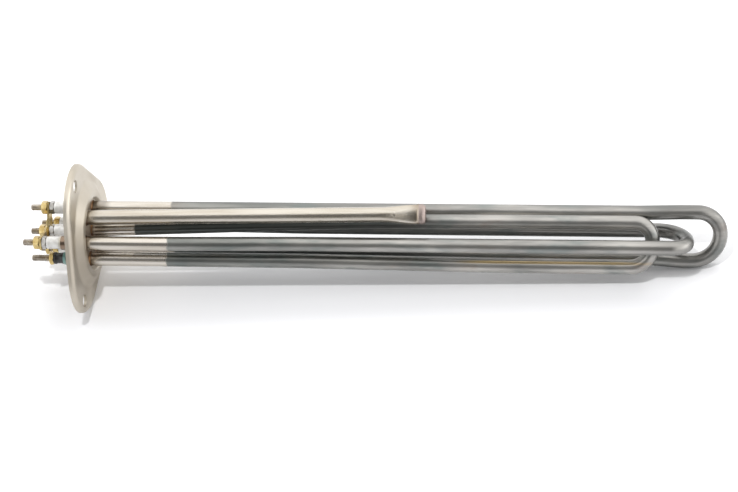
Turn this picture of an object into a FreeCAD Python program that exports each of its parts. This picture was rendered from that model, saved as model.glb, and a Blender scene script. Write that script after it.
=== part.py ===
import FreeCAD, Part, Sketcher
import math
import os

from FreeCAD import Rotation, Vector

# Flanged immersion heating element, in millimetres.
# +X runs along the heating tubes, away from the terminals. +Z is up, through one lobe of the flange.
# The origin is the centre of the flange's front face, where it seals against the tank.

DRIVING_SIZES = {
    # pressed flange
    "sheet_thickness": 1.5,
    "lobe_radius": 27.0,
    "lobe_offset": 21.0,
    "bolt_offset": 20.0,
    "bolt_hole_radius": 3.8,
    "rim_depth": 3.6,
    "rim_extra_depth": 0.6,
    "rim_bend_radius": 2.8,
    "ridge_radius": 23.6,
    "ridge_height": 4.0,
    "ridge_top_width": 3.6,
    "ridge_round": 3.0,
    "ridge_inner_round": 1.0,
    "ridge_foot_radius": 32.0,
    "ridge_foot_round": 4.0,
    "recess_radius": 20.7,
    "recess_drop": 2.2,
    "braze_gap": 0.1,
    "cut_past": 1.0,
    # heating tubes
    "tube_radius": 4.25,
    "tube_wall": 0.7,
    "ring_radius": 15.2,
    "middle_set_radius": 13.15,
    "long_reach": 376.4,
    "middle_reach": 357.4,
    "short_reach": 337.9,
    "tube_tail": 12.6,
    "coil_radius": 1.5,
    "coil_wire": 0.5,
    "coil_gap": 0.2,
    "long_cold_length": 50.0,
    "middle_cold_length": 51.5,
    "short_lower_cold_length": 48.4,
    "short_upper_cold_length": 28.4,
    "long_upper_bend_radius": 12.8,
    "long_lower_bend_radius": 16.8,
    "middle_near_bend_radius": 8.0,
    "middle_far_bend_radius": 18.0,
    "short_upper_bend_radius": 9.8,
    "short_lower_bend_radius": 13.0,
    "long_lean_start": 57.4,
    "long_set_back": 46.15,
    "long_settled_back": 22.15,
    "middle_set_start": 57.4,
    "middle_set_length": 127.4,
    "short_set_start": 127.4,
    "short_knee_length": 172.4,
    "short_set_length": 247.4,
    "set_bend_radius": 400.0,
    "end_set_bend_radius": 100.0,
    # places of legs off the ring: y to one side, z up
    "long_upper_end_y": 13.0,
    "long_upper_end_z": 8.86,
    "long_lower_set_y": 0.2,
    "long_lower_set_z": -16.15,
    "long_lower_end_y": -1.0,
    "long_lower_end_z": -17.5,
    "short_upper_start_y": 2.65,
    "short_upper_start_z": 0.33,
    "short_upper_knee_y": 3.6,
    "short_upper_knee_z": 9.2,
    "short_upper_end_y": 3.75,
    "short_upper_end_z": 9.65,
    "short_lower_end_y": -12.3,
    "short_lower_end_z": -10.7,
    # thermostat pocket
    "pocket_radius": 4.5,
    "pocket_wall": 0.8,
    "pocket_tail": 8.6,
    "pocket_round_length": 188.4,
    "pocket_press_length": 13.0,
    "pocket_flat_width": 12.0,
    "pocket_flat_thickness": 4.0,
    "weld_length": 4.0,
    "weld_margin": 0.5,
    "weld_round": 0.7,
    "pocket_end_y": 2.3,
    "pocket_end_z": 19.05,
    # terminals
    "stud_radius": 2.0,
    "stud_end": 36.1,
    "far_stud_end": 33.1,
    "bare_stud_end": 34.1,
    "stud_point": 0.7,
    "stud_play": 0.1,
    "seal_thickness": 1.0,
    "seal_radius": 4.0,
    "bush_length": 8.0,
    "bush_radius": 3.75,
    "bush_round": 0.8,
    "insulator_length": 6.0,
    "insulator_width": 9.0,
    "insulator_collar_radius": 5.0,
    "insulator_collar_length": 1.4,
    "sealant_thickness": 2.0,
    "sealant_top_radius": 3.55,
    "nut_width": 7.0,
    "stop_nut_height": 2.8,
    "clamp_nut_height": 3.4,
    "thin_nut_height": 2.4,
    "outer_nut_gap": 2.0,
    "nut_chamfer": 0.5,
    "link_thickness": 1.2,
    "link_width": 7.0,
    "link_play": 0.2,
    "link_slope_start": 5.25,
    "link_slope_length": 3.0,
    "lean_play": 0.35,
    # brazed joints
    "braze_width": 0.45,
    "braze_height": 0.9,
}

# Directions, in degrees about +X from +Y towards +Z.
RING_TURN = -26.0
RING_STEP = 60.0
LOBE_TURN = 90.0
LOBE_STEP = 120.0
POCKET_FLAT_TURN = 40.0

# How far the middle of a quarter round lies in from its two faces, as a share of its radius.
ROUND_SHARE = 0.3
# Where the hollow curve of a braze fillet passes, as shares of its height and width.
BRAZE_CURVE = (0.4, 0.35)

SHEET_NAME = "Sizes"

doc = FreeCAD.newDocument("heating_element")
sheet = doc.addObject("Spreadsheet::Sheet", SHEET_NAME)
pieces = []


class Size:
    """A number together with the formula that ties it to the sheet."""

    def __init__(self, value, formula):
        self.value = value
        self.formula = formula

    def joined(self, other, sign, value):
        return Size(value, f"({self.formula} {sign} {formula_of(other)})")

    def __add__(self, other):
        return self.joined(other, "+", self.value + number_of(other))

    def __sub__(self, other):
        return self.joined(other, "-", self.value - number_of(other))

    def __mul__(self, other):
        return self.joined(other, "*", self.value * number_of(other))

    def __truediv__(self, other):
        return self.joined(other, "/", self.value / number_of(other))

    def __neg__(self):
        return Size(-self.value, f"(-1 * {self.formula})")


def number_of(size):
    return size.value if isinstance(size, Size) else float(size)


def formula_of(size):
    return size.formula if isinstance(size, Size) else repr(float(size))


def fill_sheet():
    for row, (alias, value) in enumerate(DRIVING_SIZES.items(), start=1):
        sheet.set(f"A{row}", alias)
        sheet.set(f"B{row}", str(value))
        sheet.setAlias(f"B{row}", alias)
    doc.recompute()


def size(alias):
    return Size(float(sheet.get(alias)), f"{SHEET_NAME}.{alias}")


def hypotenuse(rise, run):
    squares = f"({formula_of(rise)}) ^ 2 + ({formula_of(run)}) ^ 2"
    return Size(math.hypot(number_of(rise), number_of(run)), f"sqrt({squares})")


def around(radius, degrees):
    """The (Y, Z) place at a radius and an angle about the X axis."""
    angle = math.radians(degrees)
    return (radius * math.cos(angle), radius * math.sin(angle))


def ring_place(step):
    return around(size("ring_radius").value, RING_TURN + step * RING_STEP)


def named_place(name):
    """A (Y, Z) place that the sheet holds as two sizes."""
    return (size(name + "_y").value, size(name + "_z").value)


def point(x, place):
    return Vector(x, place[0], place[1])


def add_piece(feature, label):
    feature.Label = label
    pieces.append(feature)
    return feature


def bind(feature, name, length):
    setattr(feature, name, number_of(length))
    if isinstance(length, Size):
        feature.setExpression(name, length.formula)


# Sketches


def new_sketch(body, name, role, offset=None):
    """A sketch on one of the body's own origin planes, moved along its normal by offset."""
    sketch = body.newObject("Sketcher::SketchObject", name)
    plane = [item for item in body.Origin.OriginFeatures if item.Role == role][0]
    sketch.AttachmentSupport = [(plane, "")]
    sketch.MapMode = "FlatFace"
    if offset is not None:
        sketch.AttachmentOffset = FreeCAD.Placement(Vector(0, 0, offset.value), Rotation())
        sketch.setExpression("AttachmentOffset.Base.z", offset.formula)
    return sketch


def constrain(sketch, kind, where, length):
    """A driving distance from the origin, bound to the sheet."""
    value = number_of(length)
    origin = (-1, 1)
    if abs(value) < 1e-9:
        axis = -2 if kind == "DistanceX" else -1
        sketch.addConstraint(Sketcher.Constraint("PointOnObject", where[0], where[1], axis))
        return
    if value > 0:
        rule = Sketcher.Constraint(kind, *origin, *where, value)
        formula = formula_of(length)
    else:
        rule = Sketcher.Constraint(kind, *where, *origin, -value)
        formula = f"(-1 * {formula_of(length)})"
    index = sketch.addConstraint(rule)
    sketch.setExpression(f"Constraints[{index}]", formula)


def draw_polygon(sketch, corners):
    """A closed outline of straight lines through corners that are bound to the sheet."""
    spots = [Vector(number_of(x), number_of(y), 0) for x, y in corners]
    count = len(spots)
    for index in range(count):
        line = Part.LineSegment(spots[index], spots[(index + 1) % count])
        sketch.addGeometry(line, False)
    for index in range(count):
        after = (index + 1) % count
        sketch.addConstraint(Sketcher.Constraint("Coincident", index, 2, after, 1))
    for index, (x, y) in enumerate(corners):
        constrain(sketch, "DistanceX", (index, 1), x)
        constrain(sketch, "DistanceY", (index, 1), y)


def draw_circle(sketch, centre, radius):
    middle = Vector(number_of(centre[0]), number_of(centre[1]), 0)
    index = sketch.addGeometry(Part.Circle(middle, Vector(0, 0, 1), radius.value), False)
    rule = sketch.addConstraint(Sketcher.Constraint("Radius", index, radius.value))
    sketch.setExpression(f"Constraints[{rule}]", radius.formula)
    constrain(sketch, "DistanceX", (index, 3), centre[0])
    constrain(sketch, "DistanceY", (index, 3), centre[1])


def ring_centre(radius, degrees):
    """A place on a circle about the X axis, still tied to the circle's radius."""
    angle = math.radians(degrees)
    return (radius * round(math.cos(angle), 9), radius * round(math.sin(angle), 9))


# Turned pieces


def turned_body(name, corners):
    """A body revolved about its own X axis from an outline of (x, radius) corners."""
    body = doc.addObject("PartDesign::Body", name)
    sketch = new_sketch(body, name + "_section", "XZ_Plane")
    draw_polygon(sketch, corners)
    turn = body.newObject("PartDesign::Revolution", name + "_turn")
    turn.Profile = sketch
    turn.ReferenceAxis = (sketch, ["H_Axis"])
    turn.Angle = 360.0
    body.Tip = turn
    return body


def hexagon_nut(name, start, height, width, bore):
    """A hexagon nut behind the flange, from -start to -(start + height), with chamfered corners."""
    chamfer = size("nut_chamfer")
    corner = width / math.sqrt(3.0)
    end = start + height
    barrel = turned_body(name + "_barrel", [
        (-start, bore), (-start, corner - chamfer), (-(start + chamfer), corner),
        (-(end - chamfer), corner), (-end, corner - chamfer), (-end, bore)])
    prism = doc.addObject("Part::Prism", name + "_prism")
    prism.Polygon = 6
    bind(prism, "Circumradius", corner)
    bind(prism, "Height", height)
    prism.Placement = FreeCAD.Placement(Vector(-end.value, 0, 0), Rotation(Vector(0, 1, 0), 90))
    prism.setExpression("Placement.Base.x", f"-1 * {end.formula}")
    nut = doc.addObject("Part::Common", name)
    nut.Base = barrel
    nut.Tool = prism
    return nut


# Hairpin paths


def rounded_path(corners, radii):
    """Straight runs through corners, joined by tangent arcs of the given radii."""
    edges = []
    here = corners[0]
    for before, corner, after, radius in zip(corners, corners[1:], corners[2:], radii):
        back = (before - corner).normalize()
        ahead = (after - corner).normalize()
        turn = math.pi - back.getAngle(ahead)
        reach = radius * math.tan(turn / 2)
        bisector = (back + ahead).normalize()
        centre = corner + bisector * (radius / math.cos(turn / 2))
        start = corner + back * reach
        middle = centre - bisector * radius
        end = corner + ahead * reach
        if (start - here).Length > 1e-3:
            edges.append(Part.LineSegment(here, start).toShape())
        edges.append(Part.Arc(start, middle, end).toShape())
        here = end
    edges.append(Part.LineSegment(here, corners[-1]).toShape())
    return Part.Wire(edges)


def swept_rod(path, radius):
    """A solid rod of one radius along a path."""
    first = path.Edges[0]
    start = first.valueAt(first.FirstParameter)
    along = first.tangentAt(first.FirstParameter)
    profile = Part.Wire(Part.Circle(start, along, radius).toShape())
    return path.makePipeShell([profile], True, False)


def long_path():
    reach = size("long_reach").value - size("tube_radius").value
    upper, upper_end = ring_place(1), named_place("long_upper_end")
    lower, lower_set, lower_end = ring_place(5), named_place("long_lower_set"), named_place("long_lower_end")
    tail = -size("tube_tail").value
    lean_start, set_start = size("long_lean_start").value, reach - size("long_set_back").value
    settled = reach - size("long_settled_back").value
    easy, end_set = size("set_bend_radius").value, size("end_set_bend_radius").value
    near, far = size("long_upper_bend_radius").value, size("long_lower_bend_radius").value
    corners = [point(tail, upper), point(set_start, upper), point(settled, upper_end),
               point(reach, upper_end), point(reach, lower_end), point(settled, lower_end),
               point(set_start, lower_set), point(lean_start, lower), point(tail, lower)]
    return rounded_path(corners, [end_set, end_set, near, far, end_set, end_set, easy])


def middle_path():
    reach = size("middle_reach").value - size("tube_radius").value
    apart = size("middle_set_radius").value
    near_bend, far_bend = size("middle_near_bend_radius").value, size("middle_far_bend_radius").value
    near, far = ring_place(3), ring_place(0)
    near_end = around(apart, RING_TURN + 3 * RING_STEP)
    far_end = around(apart, RING_TURN)
    tail = -size("tube_tail").value
    set_start, settled = size("middle_set_start").value, size("middle_set_length").value
    easy = size("set_bend_radius").value
    corners = [point(tail, near), point(set_start, near), point(settled, near_end),
               point(reach, near_end), point(reach, far_end), point(settled, far_end),
               point(set_start, far), point(tail, far)]
    return rounded_path(corners, [easy, easy, near_bend, far_bend, easy, easy])


def plate_middle():
    """How far in front of the sealing face the recessed plate's middle lies."""
    return (size("ridge_height") - size("recess_drop") - size("sheet_thickness") / 2).value


def short_upper_line():
    """The leaning leg's axis: its point on the sealing plane and its direction towards the knee."""
    start = point(plate_middle(), named_place("short_upper_start"))
    knee = point(size("short_knee_length").value, named_place("short_upper_knee"))
    along = (knee - start).normalize()
    return start - along * (start.x / along.x), along


def short_path():
    reach = size("short_reach").value - size("tube_radius").value
    tail = -size("tube_tail").value
    knee, settled = size("short_knee_length").value, size("short_set_length").value
    lower_start = size("short_set_start").value
    easy = size("set_bend_radius").value
    upper_knee, upper_end = named_place("short_upper_knee"), named_place("short_upper_end")
    lower, lower_end = ring_place(4), named_place("short_lower_end")
    foot, along = short_upper_line()
    upper_bend, lower_bend = size("short_upper_bend_radius").value, size("short_lower_bend_radius").value
    corners = [foot + along * tail, point(knee, upper_knee),
               point(settled, upper_end), point(reach, upper_end),
               point(reach, lower_end), point(settled, lower_end),
               point(lower_start, lower), point(tail, lower)]
    return rounded_path(corners, [easy, easy, upper_bend, lower_bend, easy, easy])


def add_feature(name, shape):
    feature = doc.addObject("Part::Feature", name)
    feature.Shape = shape
    return add_piece(feature, name)


def beyond(cold_upper, cold_lower, split_place):
    """Two blocks that hold what lies past the cold lengths of a hairpin's two legs."""
    block = 4 * size("ring_radius").value
    depth = size("long_reach").value
    middle = Vector(0, split_place[0], split_place[1])
    side = Vector(0, split_place[2], split_place[3]).normalize()
    turn = Rotation(Vector(0, 1, 0), side)
    blocks = []
    for cold, sign in ((cold_upper, 1), (cold_lower, -1)):
        box = Part.makeBox(depth, block, 2 * block, Vector(cold, 0 if sign > 0 else -block, -block))
        box.Placement = FreeCAD.Placement(middle, turn).multiply(box.Placement)
        blocks.append(box)
    return blocks[0].fuse(blocks[1])


def add_hairpin(name, path, cold_first, cold_last, first_place, last_place):
    """The sheath, the magnesia packed into it and the resistance coil between its two pins."""
    outer = size("tube_radius").value
    inner = outer - size("tube_wall").value
    coil = size("coil_radius").value
    core = coil - size("coil_wire").value
    bore = swept_rod(path, inner)
    channel = swept_rod(path, coil)
    heart = swept_rod(path, core)
    middle = [(a + b) / 2 for a, b in zip(first_place, last_place)]
    side = [a - b for a, b in zip(first_place, last_place)]
    gap = size("coil_gap").value
    heated = beyond(cold_first + gap, cold_last + gap, middle + side)
    add_feature(name + "_element_sheath", swept_rod(path, outer).cut(bore))
    packed = bore.cut(channel)
    heart_part = heart.common(heated)
    add_feature(name + "_magnesia_filling", Part.Compound([packed.Solids[0], heart_part.Solids[0]]))
    add_feature(name + "_resistance_coil", channel.cut(heart).common(heated).Solids[0])


# Terminals


def terminal_placement(place):
    """A terminal's own X axis, at its (Y, Z) place on the sealing plane."""
    return FreeCAD.Placement(point(0, place), Rotation())


def leaning_placement():
    """The axis of the short hairpin's upper terminal, in line with its leaning leg."""
    foot, along = short_upper_line()
    return FreeCAD.Placement(foot, Rotation(Vector(1, 0, 0), along))


def add_terminal_pin(name, placement, inner_end, stud_end):
    """The cold pin in the magnesia and the threaded stud behind it, in one piece."""
    tail = size("tube_tail") + size("seal_thickness")
    pin, stud, cut = size("coil_radius"), size("stud_radius"), size("stud_point")
    axis = Size(0.0, "0")
    body = turned_body(name, [
        (inner_end, axis), (inner_end, pin), (-tail, pin), (-tail, stud),
        (-(stud_end - cut), stud), (-stud_end, stud - cut), (-stud_end, axis)])
    body.Placement = placement
    return add_piece(body, name)


def add_bush(name, placement):
    """A glazed ceramic bush between the tube's sealed end and the stop nut, with rounded ends."""
    start = size("tube_tail") + size("seal_thickness")
    end = start + size("bush_length")
    bore = size("stud_radius") + size("stud_play")
    outer, soft = size("bush_radius"), size("bush_round")
    halfway = soft * ROUND_SHARE
    body = turned_body(name, [
        (-start, bore), (-start, outer - soft), (-(start + halfway), outer - halfway),
        (-(start + soft), outer), (-(end - soft), outer), (-(end - halfway), outer - halfway),
        (-end, outer - soft), (-end, bore)])
    body.Placement = placement
    return add_piece(body, name)


def seal_disc(name, placement):
    """The disc that closes one tube end, round the pin."""
    tail, thick = size("tube_tail"), size("seal_thickness")
    body = turned_body(name, [
        (-tail, size("coil_radius")), (-tail, size("seal_radius")),
        (-(tail + thick), size("seal_radius")), (-(tail + thick), size("coil_radius"))])
    body.Placement = placement
    return body


def add_group(name, members):
    group = doc.addObject("Part::Compound", name)
    group.Links = members
    return add_piece(group, name)


def placed_nut(name, placement, start, height):
    bore = size("stud_radius") + size("stud_play") / 2
    nut = hexagon_nut(name, start, height, size("nut_width"), bore)
    holder = doc.addObject("Part::Compound", name + "_placed")
    holder.Links = [nut]
    holder.Placement = placement
    return holder


def add_sealant(placement):
    """The bead of sealant that closes the short hairpin's lower tube, a low cone."""
    tail, thick = size("tube_tail"), size("sealant_thickness")
    pin = size("coil_radius")
    stud = size("stud_radius") + size("stud_play")
    name = "short_lower_sealant"
    body = turned_body(name, [
        (-tail, pin), (-tail, size("tube_radius")), (-(tail + thick), size("sealant_top_radius")),
        (-(tail + thick), stud), (-(tail + size("seal_thickness")), stud),
        (-(tail + size("seal_thickness")), pin)])
    body.Placement = placement
    return add_piece(body, name)


def add_insulator(placement):
    """The black insulator of the short hairpin's lower leg: a hexagon with a round collar behind it."""
    start = size("tube_tail") + size("sealant_thickness")
    bore = size("stud_radius") + size("stud_play")
    collar = size("insulator_collar_length")
    height = size("insulator_length") - collar
    hexagon = hexagon_nut("insulator_hexagon", start, height, size("insulator_width"), bore)
    outer = size("insulator_collar_radius")
    soft = size("nut_chamfer")
    back = start + height
    flange = turned_body("insulator_collar", [
        (-back, bore), (-back, outer), (-(back + collar - soft), outer),
        (-(back + collar), outer - soft), (-(back + collar), bore)])
    insulator = doc.addObject("Part::Fuse", "short_lower_insulator")
    insulator.Base = hexagon
    insulator.Tool = flange
    insulator.Placement = placement
    return add_piece(insulator, "short_lower_insulator")


def link_frame(start, end):
    """A placement whose Y axis points from one terminal to the next."""
    across = Vector(0, end[0] - start[0], end[1] - start[1])
    return FreeCAD.Placement(point(0, start), Rotation(Vector(0, 1, 0), across)), across.Length


def add_link(name, start, end, corners_of):
    """A flat link between two studs, with a hole for each."""
    placement, span = link_frame(start, end)
    body = doc.addObject("PartDesign::Body", name)
    side = new_sketch(body, name + "_side", "XY_Plane")
    draw_polygon(side, corners_of(span))
    pad = body.newObject("PartDesign::Pad", name + "_strip")
    pad.Profile = side
    bind(pad, "Length", size("link_width"))
    pad.Midplane = True
    holes = new_sketch(body, name + "_holes", "YZ_Plane")
    hole = size("stud_radius") + size("link_play")
    draw_circle(holes, (0.0, 0.0), hole)
    draw_circle(holes, (span, 0.0), hole)
    cut = body.newObject("PartDesign::Pocket", name + "_stud_holes")
    cut.Profile = holes
    cut.Type = 1
    cut.Midplane = True
    body.Tip = cut
    body.Placement = placement
    return add_piece(body, name)


def straight_link_corners(span):
    front = stack_start()
    back = front + size("link_thickness")
    end = size("link_width") / 2
    return [(-front, -end), (-front, end + span), (-back, end + span), (-back, -end)]


def cranked_link_corners(span):
    """On the first stud this link lies on the straight one, and on the other on its stop nut."""
    low = stack_start()
    thick = size("link_thickness")
    high = low + thick
    end = size("link_width") / 2
    slope_start = size("link_slope_start")
    slope_end = slope_start + size("link_slope_length")
    return [(-high, -end), (-high, slope_start), (-low, slope_end), (-low, end + span),
            (-(low + thick), end + span), (-(low + thick), slope_end),
            (-(high + thick), slope_start), (-(high + thick), -end)]


def stack_start():
    """How far behind the sealing face the links lie: tube tail, seal, bush and stop nut."""
    return size("tube_tail") + size("seal_thickness") + size("bush_length") + size("stop_nut_height")


# Flange


def draw_lobed_outline(sketch, inset):
    """A rounded triangle: three lobe arcs joined by their common tangents, drawn inwards by inset."""
    offset = size("lobe_offset")
    radius = size("lobe_radius") - inset
    half = LOBE_STEP / 2
    for step in range(3):
        turn = LOBE_TURN + step * LOBE_STEP
        centre = Vector(*around(offset.value, turn), 0)
        arc = Part.ArcOfCircle(Part.Circle(centre, Vector(0, 0, 1), radius.value),
                               math.radians(turn - half), math.radians(turn + half))
        sketch.addGeometry(arc, False)
    for step in range(3):
        turn = LOBE_TURN + step * LOBE_STEP
        start = Vector(*around(offset.value, turn), 0) + Vector(*around(radius.value, turn + half), 0)
        after = turn + LOBE_STEP
        end = Vector(*around(offset.value, after), 0) + Vector(*around(radius.value, after - half), 0)
        sketch.addGeometry(Part.LineSegment(start, end), False)
    for step in range(3):
        after = (step + 1) % 3
        turn = LOBE_TURN + step * LOBE_STEP
        centre = ring_centre(offset, turn)
        constrain(sketch, "DistanceX", (step, 3), centre[0])
        constrain(sketch, "DistanceY", (step, 3), centre[1])
        rule = sketch.addConstraint(Sketcher.Constraint("Radius", step, radius.value))
        sketch.setExpression(f"Constraints[{rule}]", radius.formula)
        sketch.addConstraint(Sketcher.Constraint("Tangent", step, 2, step + 3, 1))
        sketch.addConstraint(Sketcher.Constraint("Tangent", step + 3, 2, after, 1))


def half_slope(rise, run):
    """The tangent of half the slope of a wall with this rise and run."""
    return (hypotenuse(rise, run) - run) / rise


def boss_corners(inset):
    """Half section of the pressed boss: foot, sloping wall, ridge and recessed middle.

    With an inset it is the same section one sheet deeper, so that the walls keep their thickness."""
    crest, drop = size("ridge_height"), size("recess_drop")
    foot, floor = size("ridge_foot_radius"), size("recess_radius")
    outer_top = size("ridge_radius") + size("ridge_top_width") / 2
    inner_top = size("ridge_radius") - size("ridge_top_width") / 2
    outwards = inset * half_slope(drop, inner_top - floor)
    inwards = inset * half_slope(crest, foot - outer_top)
    return [(-inset, foot - inwards), (crest - inset, outer_top - inwards),
            (crest - inset, inner_top + outwards), (crest - drop - inset, floor + outwards)]


def circle_edges(shape, x, radius):
    """The names of the edges that run round the X axis at this x and radius."""
    return [f"Edge{index + 1}" for index, edge in enumerate(shape.Edges)
            if isinstance(edge.Curve, Part.Circle) and abs(edge.Curve.Radius - number_of(radius)) < 1e-4
            and abs(edge.Curve.Center.x - number_of(x)) < 1e-4
            and abs(edge.Curve.Center.y) + abs(edge.Curve.Center.z) < 1e-4]


def round_edges(body, name, base, edges, radius):
    doc.recompute()
    fillet = body.newObject("PartDesign::Fillet", name)
    fillet.Base = (base, edges)
    bind(fillet, "Radius", radius)
    doc.recompute()
    return fillet


def add_flange():
    body = doc.addObject("PartDesign::Body", "flange")
    sheet_thickness = size("sheet_thickness")
    deepest = size("rim_depth") + size("rim_extra_depth")
    nothing = Size(0.0, "0")

    outline = new_sketch(body, "flange_outline", "YZ_Plane")
    draw_lobed_outline(outline, nothing)
    blank = body.newObject("PartDesign::Pad", "flange_blank")
    blank.Profile = outline
    bind(blank, "Length", deepest)
    blank.Reversed = True
    doc.recompute()

    front = [f"Edge{index + 1}" for index, edge in enumerate(blank.Shape.Edges)
             if abs(edge.BoundBox.XMin) < 1e-6 and abs(edge.BoundBox.XMax) < 1e-6]
    round_edges(body, "flange_bend", blank, front, size("rim_bend_radius"))

    corners = boss_corners(nothing)
    foot_corner, outer_corner, inner_corner = corners[:3]
    section = new_sketch(body, "boss_section", "XZ_Plane")
    draw_polygon(section, [(-sheet_thickness, nothing), (-sheet_thickness, foot_corner[1]), *corners,
                           (corners[-1][0], nothing)])
    boss = body.newObject("PartDesign::Revolution", "boss")
    boss.Profile = section
    boss.ReferenceAxis = (section, ["H_Axis"])
    boss.Angle = 360.0
    doc.recompute()
    foot_round = round_edges(body, "ridge_foot_rounding", boss, circle_edges(boss.Shape, *foot_corner),
                             size("ridge_foot_round"))
    ridge_round = round_edges(body, "ridge_rounding", foot_round,
                              circle_edges(foot_round.Shape, *outer_corner), size("ridge_round"))
    round_edges(body, "ridge_inner_rounding", ridge_round,
                circle_edges(ridge_round.Shape, *inner_corner), size("ridge_inner_round"))

    hollow_outline = new_sketch(body, "hollow_outline", "YZ_Plane", -sheet_thickness)
    draw_lobed_outline(hollow_outline, sheet_thickness)
    hollow = body.newObject("PartDesign::Pocket", "hollow")
    hollow.Profile = hollow_outline
    bind(hollow, "Length", deepest)

    corners = boss_corners(sheet_thickness)
    rear = -(deepest + size("cut_past"))
    cavity_section = new_sketch(body, "cavity_section", "XZ_Plane")
    draw_polygon(cavity_section, [(rear, nothing), (rear, corners[0][1]), *corners,
                                  (corners[-1][0], nothing)])
    cavity = body.newObject("PartDesign::Groove", "cavity")
    cavity.Profile = cavity_section
    cavity.ReferenceAxis = (cavity_section, ["H_Axis"])
    cavity.Angle = 360.0
    doc.recompute()
    round_edges(body, "cavity_foot_rounding", cavity, circle_edges(cavity.Shape, *corners[0]),
                size("ridge_foot_round") + sheet_thickness)

    reach = size("lobe_offset") + size("lobe_radius") + size("cut_past")
    waist = size("lobe_offset") / 2 + size("lobe_radius")
    inside = size("ridge_foot_radius")
    trim_section = new_sketch(body, "trim_section", "XZ_Plane")
    draw_polygon(trim_section, [
        (rear, inside), (-deepest, inside), (-deepest, waist), (-size("rim_depth"), reach), (rear, reach)])
    trim = body.newObject("PartDesign::Groove", "rim_trim")
    trim.Profile = trim_section
    trim.ReferenceAxis = (trim_section, ["H_Axis"])
    trim.Angle = 360.0

    drilling = new_sketch(body, "drilling", "YZ_Plane")
    for step in range(3):
        centre = ring_centre(size("lobe_offset") + size("bolt_offset"), LOBE_TURN + step * LOBE_STEP)
        draw_circle(drilling, centre, size("bolt_hole_radius"))
    tube_hole = size("tube_radius") + size("braze_gap")
    for step in (0, 1, 3, 4, 5):
        draw_circle(drilling, ring_centre(size("ring_radius"), RING_TURN + step * RING_STEP), tube_hole)
    pocket_hole = size("pocket_radius") + size("braze_gap")
    draw_circle(drilling, ring_centre(size("ring_radius"), RING_TURN + 2 * RING_STEP), pocket_hole)
    draw_circle(drilling, (size("short_upper_start_y"), size("short_upper_start_z")), tube_hole)
    holes = body.newObject("PartDesign::Pocket", "holes")
    holes.Profile = drilling
    holes.Type = 1
    holes.Midplane = True
    body.Tip = holes
    return add_piece(body, "flange")


def add_braze_rings():
    """A small fillet of braze round each tube, on the recessed face of the flange."""
    face = size("ridge_height") - size("recess_drop")
    width, height = size("braze_width"), size("braze_height")
    up, across = BRAZE_CURVE
    places = [(ring_place(step), "tube_radius") for step in (0, 1, 3, 4, 5)]
    places.append((ring_place(2), "pocket_radius"))
    places.append((named_place("short_upper_start"), "tube_radius"))
    rings = []
    for index, (place, alias) in enumerate(places, start=1):
        inner = size(alias) + size("braze_gap")
        ring = turned_body(f"braze_ring_{index}", [
            (face, inner), (face, inner + width), (face + height * up, inner + width * across),
            (face + height, inner)])
        ring.Placement = terminal_placement(place)
        rings.append(ring)
    return add_group("braze_rings", rings)


# Thermostat pocket


def add_pocket():
    """A tube for the thermostat's bulb, open at the rear, pressed flat and welded shut at its end."""
    start = point(plate_middle(), ring_place(2))
    span = (size("pocket_round_length") + size("pocket_press_length")).value
    along = point(span, named_place("pocket_end")) - start
    body = doc.addObject("PartDesign::Body", "thermostat_pocket")
    nothing = Size(0.0, "0")
    radius = size("pocket_radius")
    tail, length = size("pocket_tail"), size("pocket_round_length")

    tube_section = new_sketch(body, "pocket_section", "XZ_Plane")
    draw_polygon(tube_section, [(-tail, nothing), (-tail, radius), (length, radius), (length, nothing)])
    tube = body.newObject("PartDesign::Revolution", "pocket_tube")
    tube.Profile = tube_section
    tube.ReferenceAxis = (tube_section, ["H_Axis"])
    tube.Angle = 360.0

    pressed_end = length + size("pocket_press_length")
    half_width, half_thick = size("pocket_flat_width") / 2, size("pocket_flat_thickness") / 2
    round_end = new_sketch(body, "pocket_round_end", "YZ_Plane", length)
    draw_circle(round_end, (0.0, 0.0), radius)
    flat_end = new_sketch(body, "pocket_flat_end", "YZ_Plane", pressed_end)
    draw_ellipse(flat_end, half_width, half_thick)
    press = body.newObject("PartDesign::AdditiveLoft", "pocket_pressed_end")
    press.Profile = round_end
    press.Sections = [flat_end]

    margin = size("weld_margin")
    bead_outline = new_sketch(body, "weld_outline", "YZ_Plane", pressed_end)
    draw_ellipse(bead_outline, half_width + margin, half_thick + margin)
    bead = body.newObject("PartDesign::Pad", "weld_bead")
    bead.Profile = bead_outline
    bind(bead, "Length", size("weld_length"))
    doc.recompute()
    far = pressed_end.value + size("weld_length").value
    rim = [f"Edge{index + 1}" for index, edge in enumerate(bead.Shape.Edges)
           if abs(edge.BoundBox.XMin - far) < 1e-4]
    rounding = body.newObject("PartDesign::Fillet", "weld_rounding")
    rounding.Base = (bead, rim)
    bind(rounding, "Radius", size("weld_round"))

    bore_section = new_sketch(body, "bore_section", "XZ_Plane")
    bore = radius - size("pocket_wall")
    mouth = tail + size("cut_past")
    draw_polygon(bore_section, [
        (-mouth, nothing), (-mouth, bore), (length, bore), (length + bore, nothing)])
    hollow = body.newObject("PartDesign::Groove", "pocket_bore")
    hollow.Profile = bore_section
    hollow.ReferenceAxis = (bore_section, ["H_Axis"])
    hollow.Angle = 360.0
    body.Tip = hollow
    lean = Rotation(Vector(1, 0, 0), along)
    foot = start - along * (start.x / along.x)
    body.Placement = FreeCAD.Placement(foot, lean)
    return add_piece(body, "thermostat_pocket")


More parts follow.
